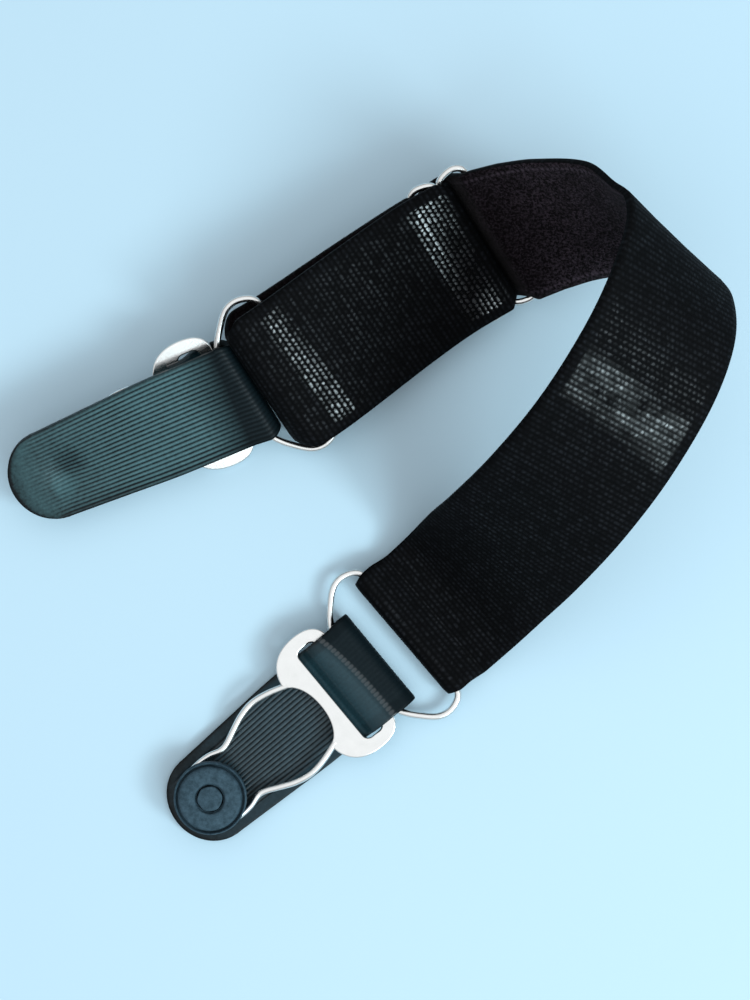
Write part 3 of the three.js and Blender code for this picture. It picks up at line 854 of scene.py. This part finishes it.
# %% [markdown]
# ## The tabs
# A grid becomes the middle of the rubber: straight under the button and the grip, folded round the ring,
# then over the frame's top bar and through its slot. Ribs modelled one by one would be slow to shape, so a
# vertex group again gives the Solidify modifier its ribs, this time on both faces. They stay straight and
# are cut off by the round end.

# %% The tab's path
TAB_THICK, FLAP_THICK, FOLD_RADIUS = 1.7, 1.5, 2.4
TAB_WIDTHS = Along([(0, 0, 0, 9.15), (0, 12.6, 0, 9.8), (0, 22.6, 0, 10.3), (0, 36, 0, 10.4)])
TAB_END, TAB_END_MIDDLE, TAB_END_HALF = -8.8, -0.4, 9.15
BEFORE_FOLD, FOLD_HALF, FLAP_HALF, FLAP_SQUARE = 1.5, 10.8, 10.6, 35.7
FLAP_PATH = [(38.9, 6.35), (37.2, 6.4), (35.6, 6.3), (34.2, 5.6), (33.2, 4.25), (32.4, 3.3),
             (31.2, 2.85), (30, 2.8), (28.8, 2.8)]
END_ROWS, STRAIGHT_ROWS, FOLD_ROWS, FLAP_ROWS = 20, 40, 20, 4


def tab_rows(at, skew, pinch):
    """Rows of the tab beyond its round end: y, z, half width, thickness, slant."""
    made = []
    for i in range(STRAIGHT_ROWS + 1):
        y = TAB_END_MIDDLE + (at - BEFORE_FOLD - TAB_END_MIDDLE) * i / STRAIGHT_ROWS
        made.append((y, TAB_THICK / 2, TAB_WIDTHS.read(max(y, 0))[3], TAB_THICK, 0))
    for y, z in arc(at, FLAP_THICK / 2 + FOLD_RADIUS, FOLD_RADIUS, -90, 90, FOLD_ROWS):
        made.append((y, z, FOLD_HALF - pinch * ((y - at) / FOLD_RADIUS) ** 2, FLAP_THICK, skew))
    for y, z, _ in through(flat(FLAP_PATH), False, FLAP_ROWS):
        slant = skew * max(0, (y - FLAP_SQUARE) / (at - FLAP_SQUARE))
        made.append((y, z, FLAP_HALF, FLAP_THICK, slant))
    return made


# %% The tab's ribs and edges
RIB_COLUMNS = 4
RIB_DEPTHS = (0.2, 0.1, 0.0, 0.1)
RIBS_FROM, RIBS_FULL, FLAP_RIBS = -6.5, 1.0, 0.3
EDGE_LEVELS = (0.84, 0.94)
END_LEVEL, END_LEVEL_STEP = 0.86, 0.07
DENT_AT, DENT_SPREAD, DENT_ROWS = 2.3, 9, 60
TIP_WIDTH = 0.004


def rib_level(row, column, columns, y, thick, border):
    """How thick the rubber is here, as a share: less in a groove, at an edge and at the round end."""
    shown = min(max((y - RIBS_FROM) / (RIBS_FULL - RIBS_FROM), 0), 1)
    if thick < TAB_THICK:
        shown = FLAP_RIBS
    from_edge = min(column, columns - column)
    if from_edge <= border:
        shown = 0
    level = 1 - shown * RIB_DEPTHS[column % RIB_COLUMNS]
    if from_edge < len(EDGE_LEVELS):
        level = EDGE_LEVELS[from_edge]
    return level * min(END_LEVEL + END_LEVEL_STEP * row, 1)


# %% The tab's mesh
def tab(name, place, at, skew, pinch, dent, border):
    """The tab folded at this y, its fold skewed and pinched, with a dent over the peg."""
    columns = (TAB_RIBS + 1) * RIB_COLUMNS
    beyond = tab_rows(at, skew, pinch)
    last = END_ROWS + len(beyond) - 1
    bpy.ops.mesh.primitive_grid_add(x_subdivisions=columns, y_subdivisions=last, size=1)
    thing = start(f"{name}_rubber")
    levels = {}
    for vertex in thing.data.vertices:
        side = vertex.co.x * 2
        column, row = round((vertex.co.x + 0.5) * columns), round((vertex.co.y + 0.5) * last)
        if row < END_ROWS:
            reach = math.sqrt(max(1 - side * side, TIP_WIDTH)) * (1 - row / END_ROWS)
            y = TAB_END_MIDDLE + (TAB_END - TAB_END_MIDDLE) * reach
            z, half, thick, slant = TAB_THICK / 2, TAB_END_HALF, TAB_THICK, 0
        else:
            y, z, half, thick, slant = beyond[row - END_ROWS]
        lean = math.radians(slant)
        vertex.co = (side * half * math.cos(lean), y + side * half * math.sin(lean), z)
        level = rib_level(row, column, columns, vertex.co.y, thick, border)
        from_dent = (vertex.co.y - DENT_AT) ** 2 + vertex.co.x**2
        vertex.co.z += dent * math.exp(-from_dent / DENT_SPREAD) * (row < DENT_ROWS)
        levels.setdefault(round(level * thick / TAB_THICK, 4), []).append(vertex.index)
    group = thing.vertex_groups.new(name="rib")
    for level, members in levels.items():
        group.add(members, level, "REPLACE")
    modifier(thing, "SOLIDIFY", thickness=TAB_THICK, offset=0.0, vertex_group="rib",
             thickness_vertex_group=0.0)
    thing.data.transform(place)
    bpy.ops.object.shade_smooth()
    return thing


lower_tab = tab("lower_tab", LOWER_CLIP, at=40.6, skew=0, pinch=0, dent=0, border=9)
upper_tab = tab("upper_tab", UPPER_CLIP, at=40.1, skew=-7.5, pinch=1.0, dent=0.7, border=2)
lower_rubber = tab_rubber("lower_tab_rubber", border=0.1, crest=LOWER_CREST)
upper_rubber = tab_rubber("upper_tab_rubber", border=0.01, crest=LIT_UPPER_CREST)
finish_piece(lower_tab, "lower_tab", "rubber", lower_rubber)
finish_piece(upper_tab, "upper_tab", "rubber", upper_rubber)

# %% [markdown]
# ## The buttons and their pegs
# The sock's edge is pushed over the button and held there by the wire. The button is a turned shape, so a
# profile is spun round the peg. The peg is moulded with the tab and shows as a small six-sided disc in the
# middle of the button.

# %% Buttons
PEG_RADIUS, STEM_RADIUS, HEAD_RADIUS, HEAD_UNDER, HEAD_TOP = 2.5, 4.5, 7.2, 3.8, 7.0
BORE = PEG_RADIUS + 0.15
SPIN_STEPS, SAME_POINT, BUTTON_SMOOTH = 72, 0.001, 50

# radius, height
BUTTON_PROFILE = [
    (BORE, 2.0), (4.2, 2.0), (STEM_RADIUS, 2.3), (STEM_RADIUS, 3.5), (4.8, HEAD_UNDER), (6.6, HEAD_UNDER),
    (7.0, 4.0), (HEAD_RADIUS, 4.4), (HEAD_RADIUS, 5.9), (7.12, 6.3), (6.95, 6.4), (6.78, 6.2), (6.7, 5.3),
    (6.4, 5.3), (6.32, 6.4), (6.1, 6.8), (5.7, HEAD_TOP), (3.3, HEAD_TOP), (3.05, 6.92), (2.9, 6.7),
    (2.82, 6.1), (BORE, 6.1),
]


def button(name, place):
    """A round head on a stem, with a groove round its top and a bore for the peg."""
    bpy.ops.mesh.primitive_circle_add(vertices=len(BUTTON_PROFILE), radius=1)
    thing = start(f"{name}_head")
    for vertex, (radius, height) in zip(thing.data.vertices, BUTTON_PROFILE):
        vertex.co = (radius, 0, height)
    bpy.ops.object.mode_set(mode="EDIT")
    bpy.ops.mesh.select_all(action="SELECT")
    bpy.ops.mesh.spin(steps=SPIN_STEPS, angle=2 * math.pi, center=(0, 0, 0), axis=(0, 0, 1))
    bpy.ops.mesh.select_all(action="SELECT")
    bpy.ops.mesh.remove_doubles(threshold=SAME_POINT)
    bpy.ops.mesh.normals_make_consistent(inside=False)
    bpy.ops.object.mode_set(mode="OBJECT")
    thing.data.transform(place)
    smooth(thing, BUTTON_SMOOTH)
    return thing


for name, place in (("lower_button", LOWER_CLIP), ("upper_button", UPPER_CLIP)):
    finish_piece(button(name, place), name, "hard_rubber", button_rubber)

# %% Pegs
PEG_FOOT, PEG_TOP = 1.0, HEAD_TOP - 0.1
PEG_POINTS, PEG_SIDES, PEG_FLATS, PEG_ROUND = 48, 6, 0.04, 0.25


def peg(name, place):
    """A short post, slightly flattened to six sides and rounded at its rims."""
    bpy.ops.mesh.primitive_cylinder_add(vertices=PEG_POINTS, radius=PEG_RADIUS, depth=PEG_TOP - PEG_FOOT,
                                        location=(0, 0, (PEG_FOOT + PEG_TOP) / 2))
    thing = start(f"{name}_peg")
    thing.data.transform(thing.matrix_world)
    thing.matrix_world = Matrix.Identity(4)
    for vertex in thing.data.vertices:
        turn = math.atan2(vertex.co.y, vertex.co.x)
        flatter = 1 - PEG_FLATS * (1 - math.cos(PEG_SIDES * turn)) / 2
        vertex.co.x, vertex.co.y = vertex.co.x * flatter, vertex.co.y * flatter
    modifier(thing, "BEVEL", width=PEG_ROUND, segments=3, limit_method="ANGLE",
             angle_limit=math.radians(BUTTON_SMOOTH))
    thing.data.transform(place)
    smooth(thing, BUTTON_SMOOTH)
    return thing


for name, place in (("lower_tab", LOWER_CLIP), ("upper_tab", UPPER_CLIP)):
    dress(peg(name, place), "rubber", button_rubber)

# %% [markdown]
# ## The grip frames
# A frame is a stamped plate with a slot, and a wire loop that narrows towards the button like a keyhole. A
# plate could be extruded from a traced outline, but a filled flat curve cuts its own slot and rounds its
# edge. The wire's ends are pressed into the plate's lobes.

# %% The plate's outline
PLATE_THICK, PLATE_EDGE, PLATE_MID, PLATE_HALF, PLATE_TOP = 1.2, 0.3, 4.5, 14.0, 38.2
SLOT_LOW, SLOT_HIGH, SLOT_HALF, SLOT_ROUND = 31.0, 35.4, 11.1, 1.3
BEND_STEPS, CORNER_STEPS = 12, 6

# control points of each bend, from the top's middle down the right side
PLATE_BENDS = [
    ((9.6, PLATE_TOP), (12.6, PLATE_TOP), (PLATE_HALF, 36.2), (PLATE_HALF, 32.6)),
    ((PLATE_HALF, 32.6), (PLATE_HALF, 28.6), (12.2, 25.6), (8.2, 24.9)),
    ((8.2, 24.9), (7.2, 24.8), (6.4, 26.2)),
    ((6.4, 26.2), (4.2, 28.3), (0, 28.3)),
]


def bend(hull):
    """Points of a Bezier bend through its control points, without its last point."""
    made = []
    for i in range(BEND_STEPS):
        level, t = [Vector(p) for p in hull], i / BEND_STEPS
        while len(level) > 1:
            level = [a.lerp(b, t) for a, b in zip(level, level[1:])]
        made.append(tuple(level[0]))
    return made


right_side = [point for hull in PLATE_BENDS for point in bend(hull)]
outline = right_side + [PLATE_BENDS[-1][-1]] + mirrored(right_side)
slot_hole = []
for corner in range(4):
    x = (SLOT_HALF - SLOT_ROUND) * (1 if corner in (0, 3) else -1)
    y = SLOT_HIGH - SLOT_ROUND if corner < 2 else SLOT_LOW + SLOT_ROUND
    slot_hole += arc(x, y, SLOT_ROUND, 90 * corner, 90 * corner + 90, CORNER_STEPS)

# %% The wire's way round the button
GRIP_WIRE, GRIP_LOW, GRIP_STEPS = 0.67, 2.8, 6
GRIP_WAY = [(7.3, 25.9, PLATE_MID), (8.5, 22.2, 4.3), (9.1, 18.2, 3.9), (8.5, 14.8, 3.55),
            (7.2, 11.6, 3.2), (6.0, 8.8, 2.95), (5.8, 7.2, 2.85), (6.4, 5.0, GRIP_LOW),
            (6.6, 2.6, GRIP_LOW), (6.3, -0.4, GRIP_LOW), (5.2, -3.4, GRIP_LOW), (2.9, -5.4, GRIP_LOW)]
grip_line = through([*GRIP_WAY, (0, -6.1, GRIP_LOW), *mirrored(GRIP_WAY)], False, GRIP_STEPS)

# %% The plate and its wire
PLATE_FACETS, PLATE_SMOOTH = 3, 40


def plate(name, place):
    """A flat plate with a slot and rounded edges."""
    curve = bpy.data.curves.new(name, "CURVE")
    curve.dimensions, curve.fill_mode = "2D", "BOTH"
    curve.extrude = PLATE_THICK / 2 - PLATE_EDGE
    curve.bevel_depth, curve.bevel_resolution = PLATE_EDGE, PLATE_FACETS
    curve.offset = -PLATE_EDGE
    lines = [(flat(line), True) for line in (outline, slot_hole)]
    return curve_mesh(curve, lines, place @ Matrix.Translation((0, 0, PLATE_MID)), PLATE_SMOOTH)


for name, place in (("lower_frame", LOWER_CLIP), ("upper_frame", UPPER_CLIP)):
    pressed = plate(f"{name}_plate", place)
    grip = wire(f"{name}_wire", [(grip_line, False)], GRIP_WIRE, place)
    finish_piece(pressed, name, "nickel", nickel)
    dress(grip, "nickel", nickel)

# %% [markdown]
# ## Floor, light and camera
# The suspender lies on a plain pale table in a white room. The main light is a soft panel to the lower
# right, halfway up. It puts the bright bands on the strap where it bends towards the light. The arch keeps
# this light off the cloth behind it, so a smaller and lower lamp stands beside the panel. The camera looks
# straight down.

# %% Floor
FLOOR_WIDE, FLOOR_DROP = 6, 0.00005
TABLE_COLOUR = (0.47, 0.63, 0.73, 1)

bpy.ops.mesh.primitive_plane_add(size=FLOOR_WIDE)
floor = start("table_top")
floor.data.transform(Matrix.Translation((0, 0, -FLOOR_DROP)))
floor_finish = Finish("pale_table", Base_Color=TABLE_COLOUR, Roughness=0.75)
floor.data.materials.append(floor_finish.done())


# %% Lights
def panel(name, place, energy, colour, **form):
    """A soft light that faces the suspender's middle."""
    light = bpy.data.lights.new(name, "AREA")
    light.energy, light.color = energy, colour
    for key, value in form.items():
        setattr(light, key, value)
    lamp = bpy.data.objects.new(name, light)
    bpy.context.collection.objects.link(lamp)
    lamp.location = place
    lamp.rotation_euler = (-lamp.location).to_track_quat("-Z", "Y").to_euler()
    print(name, "shines with", energy, "watts")


panel("key_panel", place=(0.66, -0.57, 0.85), energy=7.4, colour=(0.7, 0.93, 1.0),
      shape="RECTANGLE", size=0.92, size_y=0.5)
panel("side_panel", place=(0.86, -0.42, 0.74), energy=5.0, colour=(0.82, 0.95, 1.0),
      shape="DISK", size=0.32)

# %% The room: bright overhead, darker towards the walls
WALLS, ROOM_COLOUR = 0.2, (0.93, 0.97, 1.0, 1)

world = bpy.data.worlds.new("room")
world.use_nodes = True
sky = world.node_tree
up = sky.nodes.new("ShaderNodeSeparateXYZ")
sky.links.new(sky.nodes.new("ShaderNodeTexCoord").outputs["Generated"], up.inputs[0])
brightness = Term(sky, up.outputs["Z"]).at_least(0.0) + WALLS
sky.nodes["Background"].inputs["Color"].default_value = ROOM_COLOUR
sky.links.new(brightness.socket, sky.nodes["Background"].inputs["Strength"])
bpy.context.scene.world = world

# %% Camera
CAMERA_HEIGHT = 0.4
SENSOR_WIDTH, SENSOR_HEIGHT, LENS = 27.0, 36.0, 72.0

camera_data = bpy.data.cameras.new("camera")
camera_data.sensor_fit, camera_data.lens = "VERTICAL", LENS
camera_data.sensor_width, camera_data.sensor_height = SENSOR_WIDTH, SENSOR_HEIGHT
camera = bpy.data.objects.new("camera", camera_data)
bpy.context.collection.objects.link(camera)
camera.location = (*(-MIDDLE * MM).xy, CAMERA_HEIGHT)
bpy.context.scene.camera = camera
bpy.context.scene.view_settings.view_transform = "Standard"

# %% The end
bpy.context.view_layer.update()
